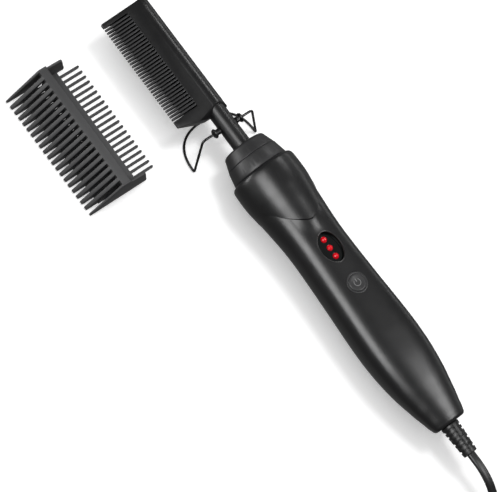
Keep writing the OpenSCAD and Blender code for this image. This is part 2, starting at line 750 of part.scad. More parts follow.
function coil_radius(t) = let (u = t / layer_turns, k = floor(u / 2), v = u - 2 * k)
    coil_r - turn_gap * layer_turns * (v < 1 ? v : 2 - v);
function rise(t, i) = min(max((t - i * layer_turns) / climb + 0.5, 0), 1);
function coil_height(t) = cord_low + layer_gap * (rise(t, 1) + rise(t, 2) + rise(t, 3));
function coil_point(i) =
    let (t = i / rings_a_turn, a = coil_start - 360 * t, r = coil_radius(t))
    [coil_x + r * cos(a), coil_y + r * sin(a), coil_height(t)];

// From the coil's top turn down to the plug
tail_out = [[8, 13.4], [15, 12.6], [22, 10.6], [29, 8.4], [36, 6.6], [43, 5.9], [48, 5.9]];
tail_points = [for (p = tail_out)
    [coil_from[0] + p[0] * sin(coil_start), coil_from[1] - p[0] * cos(coil_start), p[1]]];
coil_points = concat([for (i = [0:coil_n]) coil_point(i)], tail_points);

// Gap between the cord at two places: its section is an ellipse, so an offset as long as `sections`
// of them end to end keeps the rest of its length free
function free_gap(p, q) =
    let (d = q - p, sections = norm([norm([d[0], d[1]]) / cord_w, d[2] / cord_t]))
    norm(d) * (1 - 1 / sections);
function path_length(path, i = 1) =
    i < len(path) ? norm(path[i] - path[i - 1]) + path_length(path, i + 1) : 0;

// Least gap between any two turns of the coil, beside or on top of each other, and the free length
least_gap = min([for (i = [0:coil_n - rings_a_turn / 2])
    min([for (j = [i + rings_a_turn / 2:len(coil_points) - 1])
        free_gap(coil_points[i], coil_points[j])])]);
echo(least_gap_between_turns = least_gap);
echo(free_cord_length = path_length(cord_points) + path_length(coil_points));

plug_at = tail_points[len(tail_points) - 1];

// A flat tube along a route: each ring stands square to it, its wide side level
function flat_ring(path, i, sides) =
    let (d = heading(path, i), side = unit(cross(d, [0, 0, 1])), up = cross(side, d))
    [for (j = [0:sides - 1])
        path[i] - side * (cord_w / 2 * cos(360 * j / sides)) + up * (cord_t / 2 * sin(360 * j / sides))];

module flat_tube(path, sides) {
    loft([for (i = [0:len(path) - 1]) flat_ring(path, i, sides)], false);
}

module cord_run() {
    on_table() color([0.06, 0.06, 0.07]) flat_tube(cord_points, 10);
}

module cord_coil() {
    on_table() color([0.06, 0.06, 0.07]) flat_tube(coil_points, coil_sides);
}

tie_w = 6;
tie_t = 0.6;

module cord_tie() {
    inner = coil_r - layer_turns * turn_gap - cord_w / 2 - 0.4;
    outer = coil_r + cord_w / 2 + 0.4;
    height = cord_low + (layers - 1) * layer_gap + cord_t / 2 + 0.2;
    on_table() color([0.1, 0.1, 0.1]) translate([coil_x, coil_y, 0]) rotate([0, 0, 225]) difference() {
        translate([inner - tie_t, -tie_w / 2, 0]) cube([outer - inner + 2 * tie_t, tie_w, height + tie_t]);
        translate([inner, -tie_w, tie_t]) cube([outer - inner, 2 * tie_w, height - tie_t]);
    }
}

module plug_body() {
    on_table() color([0.07, 0.07, 0.08]) translate(plug_at) rotate([0, 0, coil_start - 90]) {
        hull() {
            translate([0.02, -3.4, -3]) cube([0.5, 6.8, 6]);
            translate([12, -9, -5.8]) cube([14, 18, 11.6]);
        }
    }
}

module plug_blades() {
    on_table() color([0.8, 0.75, 0.6]) translate(plug_at) rotate([0, 0, coil_start - 90])
        for (side = [-1, 1])
            translate([26.02, side * 6.35 - 0.75, -3.2]) cube([16, 1.5, 6.4]);
}

comb_blade();
heater_core();
heater_leads();
shank_tube();
pivot_bushes();
stand_wire();
collar_front();
heat_shield();
collar_rear();
handle_upper();
handle_lower();
case_screws();
status_window();
status_lights();
button_bezel();
power_button();
switch_body();
switch_plunger();
control_board();
board_chip();
board_capacitor();
board_triac();
board_fuse();
mains_leads();
cord_tail();
cord_clamp();
clamp_screws();
strain_relief();
comb_guard();
cord_run();
cord_coil();
cord_tie();
plug_body();
plug_blades();
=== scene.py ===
# An electric hot comb with its slip-on comb guard, on a pale table.
# Sizes in this file are millimetres, turned to metres where a point enters the shared frame.
import math

import bmesh
import bpy
from mathutils import Matrix, Vector


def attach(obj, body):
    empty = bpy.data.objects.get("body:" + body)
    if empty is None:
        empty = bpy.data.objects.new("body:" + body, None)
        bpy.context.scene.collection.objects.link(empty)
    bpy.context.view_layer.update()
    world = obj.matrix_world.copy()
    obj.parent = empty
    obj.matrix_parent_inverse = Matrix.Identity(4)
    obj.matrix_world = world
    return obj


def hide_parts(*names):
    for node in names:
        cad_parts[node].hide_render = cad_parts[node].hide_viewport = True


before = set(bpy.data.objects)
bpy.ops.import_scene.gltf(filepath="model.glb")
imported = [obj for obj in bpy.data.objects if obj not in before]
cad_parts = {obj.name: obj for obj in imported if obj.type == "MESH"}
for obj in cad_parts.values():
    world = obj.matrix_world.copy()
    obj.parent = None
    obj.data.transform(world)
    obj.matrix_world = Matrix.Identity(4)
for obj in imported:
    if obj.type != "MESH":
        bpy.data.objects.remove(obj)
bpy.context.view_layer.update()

# ---- Places that the construction settles, measured from the comb's axis at its collar ----

MID_X, MID_Y, AXIS_H = 52.95, -31.35, 23.0  # the middle of the whole, and the axis above the table
SPINE_R, BLADE_W, TIP_T, TOOTH_LEN = 6.2, 30.6, 1.6, 15.3
SLOTS, SLOT_PITCH, SLOT_W, NEAR_SLOT = 34, 1.88, 0.95, -31.4
HANDLE_X, HANDLE_LEN = 16.5, 167.0
HANDLE_END, BOOT_END, BOOT_Z = 183.5, 202.5, -3.0
WINDOW = (72.2, 18.6, 12.7)  # middle, length and width
BUTTON_X, FACE_Z, BUTTON_D = 95.49, 11.8, 9.9
GUARD_X, GUARD_Y, GUARD_LEN = -93.5, -65.9, 76.6
CORD_W, CORD_LOW = 4.8, 2.3


def on_comb(x, y, z):
    """A point measured from the comb's axis at the collar's front face."""
    return Vector((x - MID_X, y - MID_Y, z + AXIS_H)) / 1000


def on_table(x, y, z):
    """The same, with the height measured from the table."""
    return Vector((x - MID_X, y - MID_Y, z)) / 1000


# ---- Camera ----

CAMERA_TIP, CAMERA_ROLL, CAMERA_TURN = 6, 24, 53.2254  # degrees
CAMERA_RIGHT, CAMERA_DOWN, CAMERA_BACK = 3.7632, 53.2497, 1200
FOCAL_PIXELS, PHOTO_PIXELS, SENSOR_W = 2249.4, 500, 36


def aim_camera():
    """Looks down on the comb with a long lens, the blade to the upper left."""
    tip, roll, turn = (math.radians(a) for a in (CAMERA_TIP, CAMERA_ROLL, CAMERA_TURN))
    across = Vector((0, math.cos(roll), math.sin(roll)))
    lift = Vector((0, -math.sin(roll), math.cos(roll)))
    along = Vector((math.cos(tip), 0, 0)) - math.sin(tip) * lift
    back = Vector((math.sin(tip), 0, 0)) + math.cos(tip) * lift
    right = math.cos(turn) * along + math.sin(turn) * across
    down = math.sin(turn) * along - math.cos(turn) * across
    place = right * CAMERA_RIGHT + down * CAMERA_DOWN + back * CAMERA_BACK
    lens = bpy.data.cameras.new("camera")
    lens.sensor_width = SENSOR_W
    lens.lens = FOCAL_PIXELS / PHOTO_PIXELS * SENSOR_W
    lens.clip_start, lens.clip_end = 0.05, 20
    camera = bpy.data.objects.new("camera", lens)
    turned = Matrix((right, -down, back)).transposed().to_4x4()
    camera.matrix_world = Matrix.Translation(on_comb(*place)) @ turned
    bpy.context.scene.collection.objects.link(camera)
    bpy.context.scene.camera = camera


aim_camera()

# ---- Nodes and finishes ----

def linear(code):
    """An sRGB hex colour as the linear values that nodes take."""
    parts = [int(code[i:i + 2], 16) / 255 for i in (1, 3, 5)]
    straight = [c / 12.92 if c <= 0.04045 else ((c + 0.055) / 1.055) ** 2.4 for c in parts]
    return tuple(straight) + (1.0,)


def add_node(tree, kind, settings=None, links=None):
    """Adds a node, sets its properties and unlinked inputs, and links the rest."""
    node = tree.nodes.new(kind)
    for key, value in (settings or {}).items():
        if isinstance(key, str) and hasattr(node, key):
            setattr(node, key, value)
        else:
            node.inputs[key].default_value = value
    for key, (source, output) in (links or {}).items():
        tree.links.new(source.outputs[output], node.inputs[key])
    return node


def finish(name, dark, light, rough, grain, height, patch=14.0, shine=None):
    """A moulded, cast or coated surface. The colour drifts between two close shades in patches
    some millimetres wide, as dye and handling leave it, and the grain lifts the light. rough is
    (least, most), and grain and height are the texture's width and depth in millimetres."""
    material = bpy.data.materials.new(name)
    material.use_nodes = True
    tree = material.node_tree
    tree.nodes.clear()
    place = add_node(tree, "ShaderNodeTexCoord")

    def noise(size, settings):
        """A noise on the object's own coordinates, its size in millimetres."""
        return add_node(tree, "ShaderNodeTexNoise", {"Scale": 1000 / size, **settings},
                        {"Vector": (place, "Object")})

    drift = noise(patch, {"Detail": 3.0})
    colour = add_node(tree, "ShaderNodeMix",
                      {"data_type": "RGBA", 6: linear(dark), 7: linear(light)},
                      {0: (drift, "Fac")})
    smear = noise(patch / 2.2, {"Detail": 5.0, "Roughness": 0.6})
    gloss = add_node(tree, "ShaderNodeMapRange", {1: 0.3, 2: 0.7, 3: rough[0], 4: rough[1]},
                     {"Value": (smear, "Fac")})
    pits = noise(grain, {"Detail": 2.0})
    bump = add_node(tree, "ShaderNodeBump", {"Strength": 0.5, "Distance": height / 1000},
                    {"Height": (pits, "Fac")})
    shader = add_node(tree, "ShaderNodeBsdfPrincipled", shine,
                      {"Base Color": (colour, 2), "Roughness": (gloss, "Result"),
                       "Normal": (bump, "Normal")})
    add_node(tree, "ShaderNodeOutputMaterial", {}, {"Surface": (shader, "BSDF")})
    return material


# Black ABS with a soft-touch coat: dark, with one broad soft highlight
HANDLE_ABS = finish("soft_touch_abs", "#121213", "#151516", (0.31, 0.36), 0.35, 0.01)
# Heat-proof black PBT: a little paler and duller than the grip, so that its highlights spread
COLLAR_PBT = finish("polished_pbt", "#232324", "#282829", (0.42, 0.48), 0.6, 0.01)
# Die-cast aluminium under a sprayed black ceramic coat: a fine peel, satin sheen
BLADE_CERAMIC = finish("ceramic_coated_alloy", "#0f0f10", "#131314", (0.28, 0.34), 0.45, 0.015)
# The blade's teeth, their tops painted paler than the blade as a painted highlight, and the walls
# of its slots painted near black as painted shade
LIT_TOOTH_CERAMIC = finish("ceramic_coat_painted_lit", "#303031", "#383839", (0.3, 0.36), 0.45, 0.015)
SLOT_PAINTED_SHADE = finish("slot_wall_painted_shade", "#030303", "#050505", (0.6, 0.7), 0.45, 0.01,
                   shine={"Specular IOR Level": 0.1})
# Steel tube, black nickel plated and lacquered: nearly smooth, with a soft light along it
TUBE_NICKEL = finish("black_nickel_tube", "#0b0b0c", "#0f0f10", (0.34, 0.4), 1.2, 0.003)
BUSH_STEEL = finish("blackened_steel_bush", "#0e0e0f", "#151516", (0.26, 0.34), 0.5, 0.01)
WIRE_STEEL = finish("blackened_spring_wire", "#0c0c0d", "#121213", (0.22, 0.3), 0.5, 0.01)
# Polypropylene from a spark-eroded mould: matte charcoal, coarse grain
GUARD_PP = finish("matte_polypropylene", "#3b3b3c", "#454546", (0.5, 0.6), 0.45, 0.06)
# Soft PVC: the cord's sheath and its moulded ends
CORD_PVC = finish("pvc_sheath", "#0f0f10", "#141415", (0.3, 0.38), 0.9, 0.02)
RELIEF_PVC = finish("moulded_pvc", "#111112", "#171718", (0.36, 0.46), 0.5, 0.02)
WINDOW_PC = finish("smoked_polycarbonate", "#0a0c0c", "#0e1111", (0.1, 0.16), 1.5, 0.003)
BUTTON_ABS = finish("satin_abs_button", "#2d2d2e", "#333334", (0.36, 0.42), 0.35, 0.012)
LEGEND_INK = finish("pad_printed_ink", "#7c7c7c", "#868686", (0.45, 0.55), 0.3, 0.01)
HEATER_CERAMIC = finish("fired_alumina", "#d9d3c4", "#e4dfd2", (0.5, 0.65), 0.4, 0.03)
SLEEVE_GLASS = finish("woven_glass_sleeving", "#d8d8cf", "#e8e8e0", (0.6, 0.75), 0.5, 0.08)
MICA_BOARD = finish("pressed_mica", "#8d7652", "#b49a6c", (0.3, 0.45), 0.8, 0.03, patch=4)
SCREW_ZINC = finish("zinc_plated_steel", "#9c9d9e", "#a9aaaa", (0.26, 0.36), 0.6, 0.01,
                    shine={"Metallic": 1.0})
BOARD_FR4 = finish("solder_mask_fr4", "#0d4a22", "#125a2b", (0.22, 0.32), 0.8, 0.02, patch=6)
PART_EPOXY = finish("moulded_epoxy", "#141415", "#1b1b1c", (0.45, 0.55), 0.3, 0.02)
CAPACITOR_FILM = finish("capacitor_case", "#b7872a", "#c6963a", (0.2, 0.3), 0.9, 0.01)
FUSE_CERAMIC = finish("glazed_fuse_ceramic", "#dbd9cf", "#e6e4dc", (0.18, 0.28), 0.9, 0.01)
LEAD_PVC = finish("brown_pvc_lead", "#4a2715", "#5a311b", (0.35, 0.45), 0.6, 0.01)
CLAMP_NYLON = finish("natural_nylon", "#cfcdc2", "#dddbd2", (0.35, 0.45), 0.6, 0.02)
SWITCH_PBT = finish("switch_pbt", "#121213", "#19191a", (0.35, 0.45), 0.4, 0.01)
PLUNGER_NYLON = finish("grey_nylon", "#a5a5a0", "#b0b0ab", (0.35, 0.45), 0.4, 0.01)
PLUG_BRASS = finish("nickel_plated_brass", "#b3aa8f", "#bfb79d", (0.2, 0.28), 0.8, 0.01,
                    shine={"Metallic": 1.0})
TIE_NYLON = finish("hook_and_loop_nylon", "#131314", "#1b1b1c", (0.7, 0.8), 0.35, 0.1)
# Red epoxy domes, lit from inside
LIGHT_EPOXY = finish("lit_red_epoxy", "#b00816", "#cc0e20", (0.07, 0.11), 0.9, 0.002,
                     shine={"Emission Color": linear("#ff0b1e"), "Emission Strength": 0.24})

# ---- Making pieces ----

WELD = 2e-6  # metres: points of a constructed mesh that lie nearer than this are one
SHARP = 28  # degrees: edges that turn more than this are eased


def points_round(x, y, a, b, n):
    """Points on a circle or an oval."""
    turns = [math.tau * k / n for k in range(n)]
    return [(x + a * math.cos(t), y + b * math.sin(t)) for t in turns]


def piece(name, mesh, material, body, nodes, crease=32):
    """A finished object: its place is in its mesh, and it rides on a body."""
    obj = bpy.data.objects.new(name, mesh)
    bpy.context.scene.collection.objects.link(obj)
    mesh.materials.clear()
    mesh.materials.append(material)
    for face in mesh.polygons:
        face.use_smooth = True
    mesh.set_sharp_from_angle(angle=math.radians(crease))
    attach(obj, body)
    if nodes:
        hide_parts(*nodes)
    return obj


def mesh_of(name, build):
    """Runs a building function on an empty bmesh and keeps the closed result facing outwards."""
    bm = bmesh.new()
    build(bm)
    bmesh.ops.remove_doubles(bm, verts=bm.verts, dist=1e-7)
    bmesh.ops.recalc_face_normals(bm, faces=bm.faces)
    mesh = bpy.data.meshes.new(name)
    bm.to_mesh(mesh)
    bm.free()
    return mesh


def welded(mesh):
    """A mesh opened for work, its doubled points made one."""
    bm = bmesh.new()
    bm.from_mesh(mesh)
    bmesh.ops.remove_doubles(bm, verts=bm.verts, dist=WELD)
    return bm


def settled(bm, name):
    """The worked mesh as a mesh of its own, its many-sided faces split up."""
    bmesh.ops.triangulate(bm, faces=[f for f in bm.faces if len(f.verts) > 4])
    mesh = bpy.data.meshes.new(name)
    bm.to_mesh(mesh)
    bm.free()
    return mesh


def ease_edges(bm, ease, flat, segments=2):
    """Makes faces within so many degrees of flat one face, and rounds the sharp edges left."""
    bmesh.ops.dissolve_limit(bm, angle_limit=math.radians(flat), verts=bm.verts, edges=bm.edges)
    edges = [e for e in bm.edges
             if len(e.link_faces) == 2 and e.calc_face_angle(0) > math.radians(SHARP)]
    if ease:
        bmesh.ops.bevel(bm, geom=edges, offset=ease / 1000, segments=segments, affect="EDGES",
                        profile=0.5, clamp_overlap=True)


def loft(bm, rings, ends=True):
    """Joins closed loops of points, and closes the two end loops."""
    loops = [[bm.verts.new(p) for p in ring] for ring in rings]
    n = len(loops[0])
    for low, high in zip(loops, loops[1:]):
        for j in range(n):
            bm.faces.new((low[j], low[(j + 1) % n], high[(j + 1) % n], high[j]))
    if ends:
        bm.faces.new(loops[0][::-1])
        bm.faces.new(loops[-1])


def prism(bm, outline, low, high, axis=0, bevel=0.0):
    """An outline drawn out along an axis between two places, with its edges eased."""
    def point(a, b, c):
        return Vector((c, a, b)) if axis == 0 else Vector((a, b, c))
    near, far = ([bm.verts.new(point(a, b, c)) for a, b in outline] for c in (low, high))
    n = len(outline)
    faces = [bm.faces.new((near[j], near[(j + 1) % n], far[(j + 1) % n], far[j]))
             for j in range(n)]
    faces += [bm.faces.new(near[::-1]), bm.faces.new(far)]
    bmesh.ops.recalc_face_normals(bm, faces=faces)
    if bevel:
        edges = {e for f in faces for e in f.edges if e.calc_face_angle(0) > math.radians(25)}
        bmesh.ops.bevel(bm, geom=list(edges), offset=bevel, segments=2, affect="EDGES",
                        profile=0.5, clamp_overlap=True)


def eased_copy(node, name, material, body, ease, crease=32, segments=2):
    """A constructed part as it leaves its mould or lathe: the same form with its edges eased."""
    bm = welded(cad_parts[node].data)
    ease_edges(bm, ease, 1.0, segments)
    return piece(name, settled(bm, name), material, body, (node,), crease)


def in_frame(mesh, place):
    """Moves a mesh drawn in millimetres to its place in the shared frame, in metres."""
    origin = place(0, 0, 0)
    mesh.transform(Matrix.Translation(origin) @ Matrix.Scale(0.001, 4))
    return mesh


# ---- Rows of teeth, by Geometry Nodes ----

def row_tree():
    """Copies a tooth along a straight line."""
    tree = bpy.data.node_groups.new("row_of_teeth", "GeometryNodeTree")
    for name, kind in (("Tooth", "NodeSocketGeometry"), ("Count", "NodeSocketInt"),
                       ("Step", "NodeSocketVector"), ("Finish", "NodeSocketMaterial")):
        tree.interface.new_socket(name, in_out="INPUT", socket_type=kind)
    tree.interface.new_socket("Row", in_out="OUTPUT", socket_type="NodeSocketGeometry")
    entry = add_node(tree, "NodeGroupInput")
    line = add_node(tree, "GeometryNodeMeshLine", {"mode": "OFFSET"},
                    {"Count": (entry, "Count"), "Offset": (entry, "Step")})
    copies = add_node(tree, "GeometryNodeInstanceOnPoints", {},
                      {"Points": (line, "Mesh"), "Instance": (entry, "Tooth")})
    real = add_node(tree, "GeometryNodeRealizeInstances", {}, {"Geometry": (copies, "Instances")})
    coated = add_node(tree, "GeometryNodeSetMaterial", {},
                      {"Geometry": (real, "Geometry"), "Material": (entry, "Finish")})
    add_node(tree, "NodeGroupOutput", {}, {"Row": (coated, "Geometry")})
    return tree


ROW_OF_TEETH = row_tree()


def toothed_row(tooth, count, step, material):
    """The mesh of a row of teeth, from one tooth drawn at the row's start."""
    holder = bpy.data.objects.new("tooth", tooth)
    bpy.context.scene.collection.objects.link(holder)
    nodes = holder.modifiers.new("row", "NODES")
    nodes.node_group = ROW_OF_TEETH
    values = {"Count": count, "Step": step, "Finish": material}
    for item in ROW_OF_TEETH.interface.items_tree:
        if item.in_out == "INPUT" and item.name in values:
            nodes[item.identifier] = values[item.name]
    shown = holder.evaluated_get(bpy.context.evaluated_depsgraph_get())
    mesh = bpy.data.meshes.new_from_object(shown)
    holder.modifiers.remove(nodes)
    bpy.data.objects.remove(holder)
    return mesh


# ---- The cord ----

def smooth_line(points, steps):
    """A curve through the points, some steps to each span."""
    line = []
    for i in range(len(points) - 1):
        a, b, c, d = (points[min(max(i + k, 0), len(points) - 1)] for k in (-1, 0, 1, 2))
        for k in range(steps):
            t = k / steps
            bend = 2 * a - 5 * b + 4 * c - d + t * (3 * (b - c) + d - a)
            line.append(b + 0.5 * t * (c - a + t * bend))
    return line + [points[-1]]


# Out of the relief: along, across, and the share of the height that is left
CORD_ROUTE = [(0, 0, 1), (6, 0, 1), (12, -0.1, 0.96), (19, -0.6, 0.84), (28, -2, 0.6),
              (38, -4.4, 0.34), (48, -7.8, 0.14), (58, -12.2, 0.03), (67, -17, 0)]
COIL_FROM, COIL_R, COIL_START = (BOOT_END + 76, -22.2), 33.4, 60
TURN_GAP, LAYER_GAP, LAYER_TURNS, LAYERS, CLIMB = 5.3, 3.7, 2.5, 4, 0.5
# Out of the coil to the plug: along, and height
TAIL_OUT = [(8, 13.4), (15, 12.6), (22, 10.6), (29, 8.4), (36, 6.6), (43, 5.9), (48, 5.9)]
CORE_R, APART = 1.5, 0.9  # the cord's two round cores, and their middles' distance from its own


def cord_line():
    """Out of the relief, down to the table, and round into the coil, in four layers."""
    start = math.radians(COIL_START)
    middle = (COIL_FROM[0] - COIL_R * math.cos(start), COIL_FROM[1] - COIL_R * math.sin(start))
    coil = []
    turn_steps = 48
    for i in range(int(LAYERS * LAYER_TURNS * turn_steps) + 1):
        t = i / turn_steps
        u = t / LAYER_TURNS
        v = u - 2 * math.floor(u / 2)
        r = COIL_R - TURN_GAP * LAYER_TURNS * (v if v < 1 else 2 - v)
        rise = sum(min(max((t - k * LAYER_TURNS) / CLIMB + 0.5, 0), 1) for k in range(1, LAYERS))
        a = start - math.tau * t
        coil.append(Vector((middle[0] + r * math.cos(a), middle[1] + r * math.sin(a),
                            CORD_LOW + LAYER_GAP * rise)))
    out_z = AXIS_H + BOOT_Z
    run = [Vector((BOOT_END + x, y, CORD_LOW + (out_z - CORD_LOW) * h)) for x, y, h in CORD_ROUTE]
    tail = [Vector((COIL_FROM[0] + d * math.sin(start), COIL_FROM[1] - d * math.cos(start), h))
            for d, h in TAIL_OUT]
    line = smooth_line(run + coil[:3], 5)[:-10] + coil[:-1] + smooth_line([coil[-1]] + tail, 4)
    return [on_table(*p) for p in line]


def twin_section(r, apart, n=11):
    """Outline of a flat twin cord: two round cores with a shallow groove between them."""
    half = math.degrees(math.acos(apart / r))
    points = []
    for side, middle in ((1, 0), (-1, 180)):
        for k in range(n):
            a = math.radians(middle - (180 - half) + 2 * (180 - half) * k / (n - 1))
            points.append((side * apart + r * math.cos(a), r * math.sin(a)))
    return points


def sweep(path, section, upward):
    """Rings of a section square to a path; the section's first axis stays level with upward."""
    rings = []
    for i, p in enumerate(path):
        ahead = (path[min(i + 1, len(path) - 1)] - path[max(i - 1, 0)]).normalized()
        side = ahead.cross(upward).normalized()
        lift = side.cross(ahead)
        rings.append([p + side * a + lift * b for a, b in section])
    return rings


CORD_PATH = cord_line()
cord_section = [(a / 1000, b / 1000) for a, b in twin_section(CORE_R, APART)]
cord_rings = sweep(CORD_PATH, cord_section, Vector((0, 0, 1)))
cord_mesh = mesh_of("cord", lambda bm: loft(bm, cord_rings))
cord = piece("cord", cord_mesh, CORD_PVC, "comb", ("cord_run", "cord_coil"), 60)
plug = eased_copy("plug_body", "plug", RELIEF_PVC, "comb", 1.2, 40, 3)
blades = eased_copy("plug_blades", "plug_pins", PLUG_BRASS, "comb", 0.3)
tie = eased_copy("cord_tie", "tie", TIE_NYLON, "comb", 0.12)
relief = eased_copy("strain_relief", "strain_relief_boot", RELIEF_PVC, "comb", 0.18)


def relief_core(bm):
    """The floor of the strain relief's grooves: a cone a little inside its skin."""
    loft(bm, [[(x, y, z) for y, z in points_round(0, BOOT_Z, r, r, 48)]
              for x, r in ((HANDLE_END + 0.6, 4.55), (BOOT_END - 1.2, 3.5))])


piece("strain_relief_core", in_frame(mesh_of("relief_core", relief_core), on_comb), RELIEF_PVC,
      "comb", ())

# ---- Handle ----

# Grip sections: share of the length, half width, height above the axis, depth below it, squareness
GRIP = [(0.04, 15.0, 11.6, 14.6, 2.2), (0.09, 17.6, 14.2, 17.6, 2.2),
        (0.13, 18.0, 14.9, 18.2, 2.2), (0.18, 17.3, 14.3, 17.8, 2.3),
        (0.25, 16.3, 13.1, 17.6, 2.5), (0.32, 16.0, 12.4, 18.2, 2.55),
        (0.47, 16.6, 11.8, 20.5, 2.65), (0.65, 17.7, 11.4, 22.88, 2.7),
        (0.75, 17.4, 10.7, 22.4, 2.6), (0.84, 15.8, 9.3, 20.0, 2.4),
        (0.92, 13.2, 7.5, 16.4, 2.2), (0.975, 11.0, 6.1, 13.2, 2.1), (1.0, 9.9, 5.2, 11.4, 2.1)]
# The round front and its raised tongue: place along the handle, and what is added to BELL_R
BELL = [(0, -1.9), (0.15, -1.45), (0.5, -1.0), (1.2, -0.5), (2.4, -0.2), (5, -0.05), (11, 0),
        (17, -0.4), (23, -1.7), (29, -3.9), (34.5, -7), (39, -12)]
TONGUE = [(0, -3), (11, -0.2), (17, -0.5), (24, -1.3), (31, -2.4), (37, -3.3), (43, -4.3)]
# How far the tongue reaches, by the distance from the handle's middle line
TONGUE_EDGE = [(0, 37.8), (2.5, 37.2), (4.5, 36), (6.5, 34.6), (9.3, 32.2), (12, 29.4),
               (13.4, 27.6), (15.4, 24.2), (17, 21.2), (18.9, 15.5), (20, 11)]
# How deep the scoop past the tongue's edge is, by the distance from the edge
SCOOP = [(0, 0), (0.12, 0.6), (0.4, 1.3), (0.9, 2.0), (2, 3.0), (3, 4.2), (4, 6)]
BELL_R, END_ROUND, WALL = 19.4, 1.8, 2.4
BELL_REACH, TONGUE_FROM = 36, 12
SWELL_H, SWELL_HALF, SWELL_RUN = 1.4, 9, 5.5  # the low swelling that the scoop runs out on


def between(table, x):
    """A value read from a table of pairs, on straight lines between its rows."""
    if x <= table[0][0]:
        return table[0][1]
    for (a, p), (b, q) in zip(table, table[1:]):
        if x <= b:
            return p + (q - p) * (x - a) / (b - a)
    return table[-1][1]


def curved(table, x):
    """The same on a smooth curve through the rows."""
    x = min(max(x, table[0][0]), table[-1][0])
    i = max(k for k in range(len(table) - 1) if x >= table[k][0])
    rows = [table[min(max(i + k, 0), len(table) - 1)] for k in (-1, 0, 1, 2)]
    t = (x - rows[1][0]) / (rows[2][0] - rows[1][0])
    a, b, c, d = (row[1:] for row in rows)
    return [q + 0.5 * t * (r - p + t * (2 * p - 5 * q + 4 * r - s + t * (3 * (q - r) + s - p)))
            for p, q, r, s in zip(a, b, c, d)]


def grip_radius(d, angle):
    """Distance from the middle of the parting plane to the grip's surface."""
    low_end = max(d - HANDLE_LEN + END_ROUND, 0)
    cut = END_ROUND - math.sqrt(max(END_ROUND ** 2 - low_end ** 2, 0))
    width, top, bottom, square = curved(GRIP, d / HANDLE_LEN)
    c, s = math.cos(angle), math.sin(angle)
    low, high = 2.0, 32.0
    for _ in range(18):  # halvings, down to a tenth of a micrometre
        r = (low + high) / 2
        y, z = r * c, BOOT_Z + r * s
        n, h = (square, top - cut) if z > 0 else (2, bottom - cut)
        if (abs(y) / (width - cut)) ** n + (abs(z) / h) ** n < 1:
            low = r
        else:
            high = r
    return low


def round_radius(r, angle):
    """Distance from the middle of the parting plane to a circle round the comb's axis."""
    return -BOOT_Z * math.sin(angle) + math.sqrt(r * r - (BOOT_Z * math.cos(angle)) ** 2)


def tongue_end(angle):
    """How far along the handle the raised front reaches at this angle."""
    d = 30.0
    for _ in range(30):  # steps half way to the edge, until they stop moving
        r = round_radius(BELL_R + between(TONGUE, d), angle)
        d = 0.5 * d + 0.5 * between(TONGUE_EDGE, abs(r * math.cos(angle)))
    return d


def skin_radius(d, angle, edge):
    """Distance from the middle of the parting plane to the handle's skin."""
    grip = grip_radius(max(d, GRIP[0][0] * HANDLE_LEN), angle)
    if d < BELL_REACH:
        grip = max(grip, round_radius(BELL_R + curved(BELL, d)[0], angle))
    if d <= edge:
        if d <= TONGUE_FROM:
            return grip
        return max(grip, round_radius(BELL_R + curved(TONGUE, d)[0], angle))
    past = d - edge
    if angle < math.pi:
        side = min((grip * math.cos(angle) / SWELL_HALF) ** 2, 1)
        grip += SWELL_H * math.sin(angle) * (1 - side) * math.exp(-(past / SWELL_RUN) ** 2)
    if past >= SCOOP[-1][0]:
        return grip
    return max(grip, round_radius(BELL_R + curved(TONGUE, d)[0] - between(SCOOP, past), angle))


# Where the skin's points lie: from the front rim, past the tongue's edge, and back from the end
FRONT = [0, 0.06, 0.15, 0.3, 0.5, 0.8, 1.2, 1.8, 2.6, 4]
PAST = [0, 0.06, 0.12, 0.26, 0.4, 0.65, 0.9, 1.4, 2, 3, 4, 5.5, 7]
LAST = [3, 2.2, 1.8, 1.5, 1.2, 0.9, 0.6, 0.4, 0.2, 0.1, 0.03, 0]
EVEN_FROM, EVEN_TO = 60, HANDLE_LEN - 4
SOCKET_R, NECK_R, GROOVE_R = 16.1, 3.6, 5.6  # for the collar, for the relief, for its flange
# The hollow: place along the handle, what the size is, and the size
HOLLOW = [(0, "axis", SOCKET_R), (8.56, "axis", SOCKET_R), (8.6, "wall", WALL)]
HOLLOW += [(d, "wall", WALL) for d in range(12, 151, 6)]
HOLLOW += [(HANDLE_LEN - 16.04, "wall", WALL), (HANDLE_LEN - 16, "neck", NECK_R),
           (HANDLE_LEN - 9.24, "neck", NECK_R), (HANDLE_LEN - 9.2, "neck", GROOVE_R),
           (HANDLE_LEN - 5.8, "neck", GROOVE_R), (HANDLE_LEN - 5.76, "neck", NECK_R),
           (HANDLE_LEN, "neck", NECK_R)]


def skin_places(edge):
    """Places along one line of the skin: denser at the front rim, at the tongue's edge and at
    the end."""
    first = FRONT + [4 + (edge - 4) * k / 22 for k in range(1, 22)]
    past = [edge + p for p in PAST]
    middle = [past[-1] + (EVEN_FROM - past[-1]) * k / 16 for k in range(1, 16)]
    grip = [EVEN_FROM + (EVEN_TO - EVEN_FROM) * k / 70 for k in range(71)]
    return first + past + middle + grip + [HANDLE_LEN - q for q in LAST]


